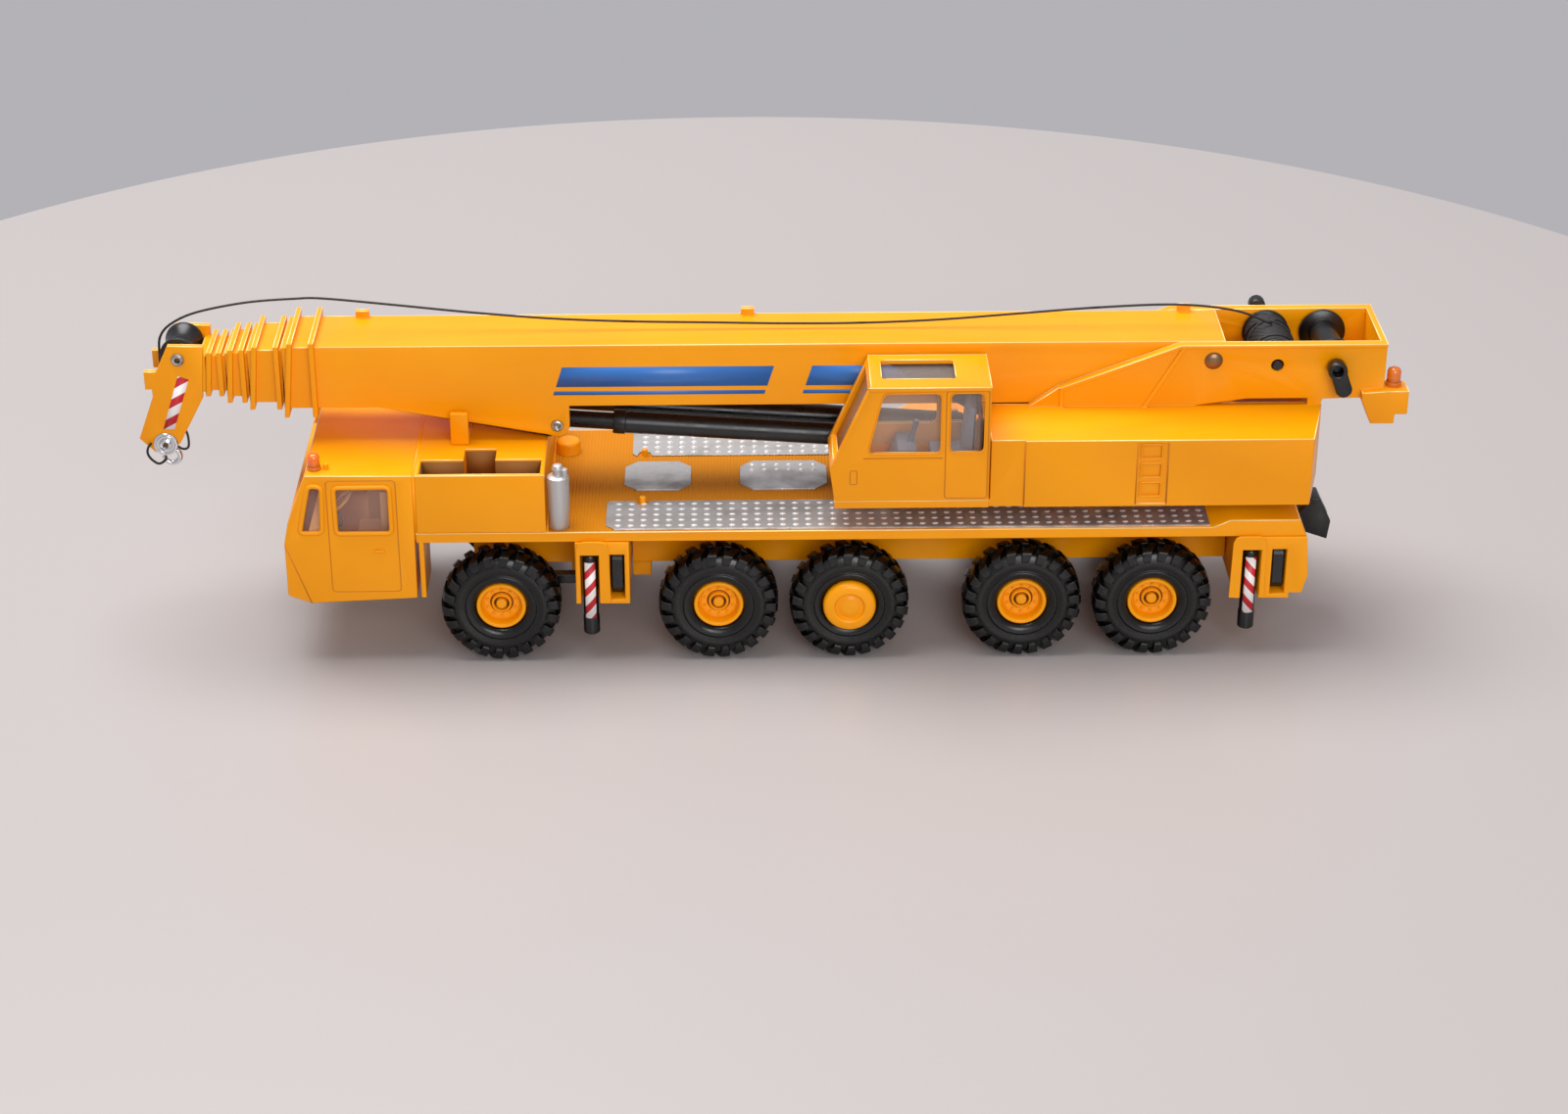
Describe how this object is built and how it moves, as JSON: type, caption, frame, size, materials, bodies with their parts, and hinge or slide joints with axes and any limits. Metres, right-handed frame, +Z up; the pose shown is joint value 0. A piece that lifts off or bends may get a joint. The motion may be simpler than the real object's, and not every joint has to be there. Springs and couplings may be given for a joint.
{
  "type": "toy crane truck",
  "caption": "Toy five-axle mobile crane: cab and deck on ten rolling wheels, slewing superstructure, luffing telescopic boom with rams, winches and hook, outriggers.",
  "frame": {"origin": "on the floor, under the middle of the model's overall box", "axes": "+Z up, -X the way the truck drives, +Y its right side"},
  "size_m": [0.3013, 0.0598, 0.0829],
  "materials": {
    "yellow_enamel": "gloss",
    "yellow_plastic": "gloss",
    "tyre_rubber": "matte",
    "black_plastic": "satin",
    "black_cord": "matte",
    "steel": "satin",
    "chrome_plate": "polished",
    "silver_plastic": "satin",
    "checker_foil": "embossed",
    "grey_plastic": "matte",
    "amber_plastic": "gloss",
    "clear_plastic": "clear"
  },
  "bodies": {
    "carrier": {"chassis_frame": "yellow_enamel", "carrier_deck": "yellow_enamel", "slew_kingpin": "steel", "tread_strip_left": "checker_foil", "tread_strip_right": "checker_foil", "outrigger_housing_front": "yellow_enamel", "outrigger_housing_rear": "yellow_enamel", "tow_coupling": "black_plastic", "carrier_cab_shell": "yellow_enamel", "carrier_cab_glazing": "clear_plastic", "carrier_cab_interior": "grey_plastic", "tool_box": "yellow_enamel", "boom_rest": "yellow_enamel", "muffler": "silver_plastic", "front_beacon": "amber_plastic"},
    "wheelset_1": {"axle_1": "yellow_plastic", "tyre_1_left": "tyre_rubber", "tyre_1_right": "tyre_rubber"},
    "wheelset_2": {"axle_2": "yellow_plastic", "tyre_2_left": "tyre_rubber", "tyre_2_right": "tyre_rubber"},
    "wheelset_3": {"axle_3": "yellow_plastic", "tyre_3_left": "tyre_rubber", "tyre_3_right": "tyre_rubber"},
    "wheelset_4": {"axle_4": "yellow_plastic", "tyre_4_left": "tyre_rubber", "tyre_4_right": "tyre_rubber"},
    "wheelset_5": {"axle_5": "yellow_plastic", "tyre_5_left": "tyre_rubber", "tyre_5_right": "tyre_rubber"},
    "beam_front_left": {"outrigger_beam_front_left": "black_plastic"},
    "jack_front_left": {"outrigger_jack_front_left": "black_plastic"},
    "beam_front_right": {"outrigger_beam_front_right": "black_plastic"},
    "jack_front_right": {"outrigger_jack_front_right": "black_plastic"},
    "beam_rear_left": {"outrigger_beam_rear_left": "black_plastic"},
    "jack_rear_left": {"outrigger_jack_rear_left": "black_plastic"},
    "beam_rear_right": {"outrigger_beam_rear_right": "black_plastic"},
    "jack_rear_right": {"outrigger_jack_rear_right": "black_plastic"},
    "superstructure": {"superstructure_body": "yellow_enamel", "boom_pivot_pin": "steel", "rear_beacon": "amber_plastic", "operator_cab_shell": "yellow_enamel", "operator_cab_glazing": "clear_plastic", "operator_seat": "grey_plastic", "operator_console": "grey_plastic"},
    "winch_1": {"winch_drum_1": "black_plastic", "winch_crank_1": "black_plastic"},
    "winch_2": {"winch_drum_2": "black_plastic", "winch_crank_2": "black_plastic"},
    "boom": {"boom_base": "yellow_enamel", "hoist_rope": "black_cord"},
    "section_2": {"boom_section_2": "yellow_enamel"},
    "section_3": {"boom_section_3": "yellow_enamel"},
    "section_4": {"boom_section_4": "yellow_enamel", "head_sheave_pin": "steel", "hook_pin": "steel"},
    "sheave": {"head_sheave": "black_plastic"},
    "hook": {"crane_hook": "chrome_plate"},
    "ram_barrels": {"lift_barrels": "black_plastic"},
    "ram_rods": {"lift_rods": "black_plastic"}
  },
  "joints": [
    {"name": "wheelset_1_roll", "type": "hinge", "parent": "carrier", "child": "wheelset_1", "pos_m": [-0.0655, 0, 0.0143], "axis": [0, 1, 0], "continuous": true},
    {"name": "wheelset_2_roll", "type": "hinge", "parent": "carrier", "child": "wheelset_2", "pos_m": [-0.0137, 0, 0.0143], "axis": [0, 1, 0], "continuous": true},
    {"name": "wheelset_3_roll", "type": "hinge", "parent": "carrier", "child": "wheelset_3", "pos_m": [0.0175, 0, 0.0143], "axis": [0, 1, 0], "continuous": true},
    {"name": "wheelset_4_roll", "type": "hinge", "parent": "carrier", "child": "wheelset_4", "pos_m": [0.0587, 0, 0.0143], "axis": [0, 1, 0], "continuous": true},
    {"name": "wheelset_5_roll", "type": "hinge", "parent": "carrier", "child": "wheelset_5", "pos_m": [0.0899, 0, 0.0143], "axis": [0, 1, 0], "continuous": true},
    {"name": "beam_front_left_slide", "type": "slide", "parent": "carrier", "child": "beam_front_left", "axis": [0, -1, 0], "range_m": [0, 0.022]},
    {"name": "jack_front_left_drop", "type": "slide", "parent": "beam_front_left", "child": "jack_front_left", "axis": [0, 0, -1], "range_m": [0, 0.0066]},
    {"name": "beam_front_right_slide", "type": "slide", "parent": "carrier", "child": "beam_front_right", "axis": [0, 1, 0], "range_m": [0, 0.022]},
    {"name": "jack_front_right_drop", "type": "slide", "parent": "beam_front_right", "child": "jack_front_right", "axis": [0, 0, -1], "range_m": [0, 0.0066]},
    {"name": "beam_rear_left_slide", "type": "slide", "parent": "carrier", "child": "beam_rear_left", "axis": [0, -1, 0], "range_m": [0, 0.022]},
    {"name": "jack_rear_left_drop", "type": "slide", "parent": "beam_rear_left", "child": "jack_rear_left", "axis": [0, 0, -1], "range_m": [0, 0.0066]},
    {"name": "beam_rear_right_slide", "type": "slide", "parent": "carrier", "child": "beam_rear_right", "axis": [0, 1, 0], "range_m": [0, 0.022]},
    {"name": "jack_rear_right_drop", "type": "slide", "parent": "beam_rear_right", "child": "jack_rear_right", "axis": [0, 0, -1], "range_m": [0, 0.0066]},
    {"name": "slew", "type": "hinge", "parent": "carrier", "child": "superstructure", "pos_m": [0.0783, 0, 0.04], "axis": [0, 0, 1], "continuous": true},
    {"name": "winch_1_spin", "type": "hinge", "parent": "superstructure", "child": "winch_1", "pos_m": [0.1186, 0, 0.0685], "axis": [0, 1, 0], "continuous": true},
    {"name": "winch_2_spin", "type": "hinge", "parent": "superstructure", "child": "winch_2", "pos_m": [0.1323, 0, 0.0685], "axis": [0, 1, 0], "continuous": true},
    {"name": "luff", "type": "hinge", "parent": "superstructure", "child": "boom", "pos_m": [0.1034, 0, 0.0698], "axis": [0, 1, 0], "range_deg": [0, 70], "deforming": ["hoist_rope"]},
    {"name": "section_2_slide", "type": "slide", "parent": "boom", "child": "section_2", "axis": [-1, 0, 0], "range_m": [0, 0.14]},
    {"name": "section_3_slide", "type": "slide", "parent": "section_2", "child": "section_3", "axis": [-1, 0, 0], "range_m": [0, 0.14]},
    {"name": "section_4_slide", "type": "slide", "parent": "section_3", "child": "section_4", "axis": [-1, 0, 0], "range_m": [0, 0.14]},
    {"name": "sheave_spin", "type": "hinge", "parent": "section_4", "child": "sheave", "pos_m": [-0.1406, 0, 0.0701], "axis": [0, 1, 0], "continuous": true},
    {"name": "hook_swing", "type": "hinge", "parent": "section_4", "child": "hook", "pos_m": [-0.1452, 0, 0.0482], "axis": [0, 1, 0], "range_deg": [-60, 60]},
    {"name": "ram_pitch", "type": "hinge", "parent": "superstructure", "child": "ram_barrels", "pos_m": [0.0433, 0, 0.0465], "axis": [0, 1, 0], "range_deg": [0, 84]},
    {"name": "ram_stroke", "type": "slide", "parent": "ram_barrels", "child": "ram_rods", "axis": [-0.9974, 0, 0.0714], "range_m": [0, 0.0695]}
  ],
  "couplings": [
    {"joint": "ram_pitch", "follows": "luff", "ratio": 1.1849},
    {"joint": "ram_stroke", "follows": "luff", "m_per_rad": 0.055968}
  ]
}
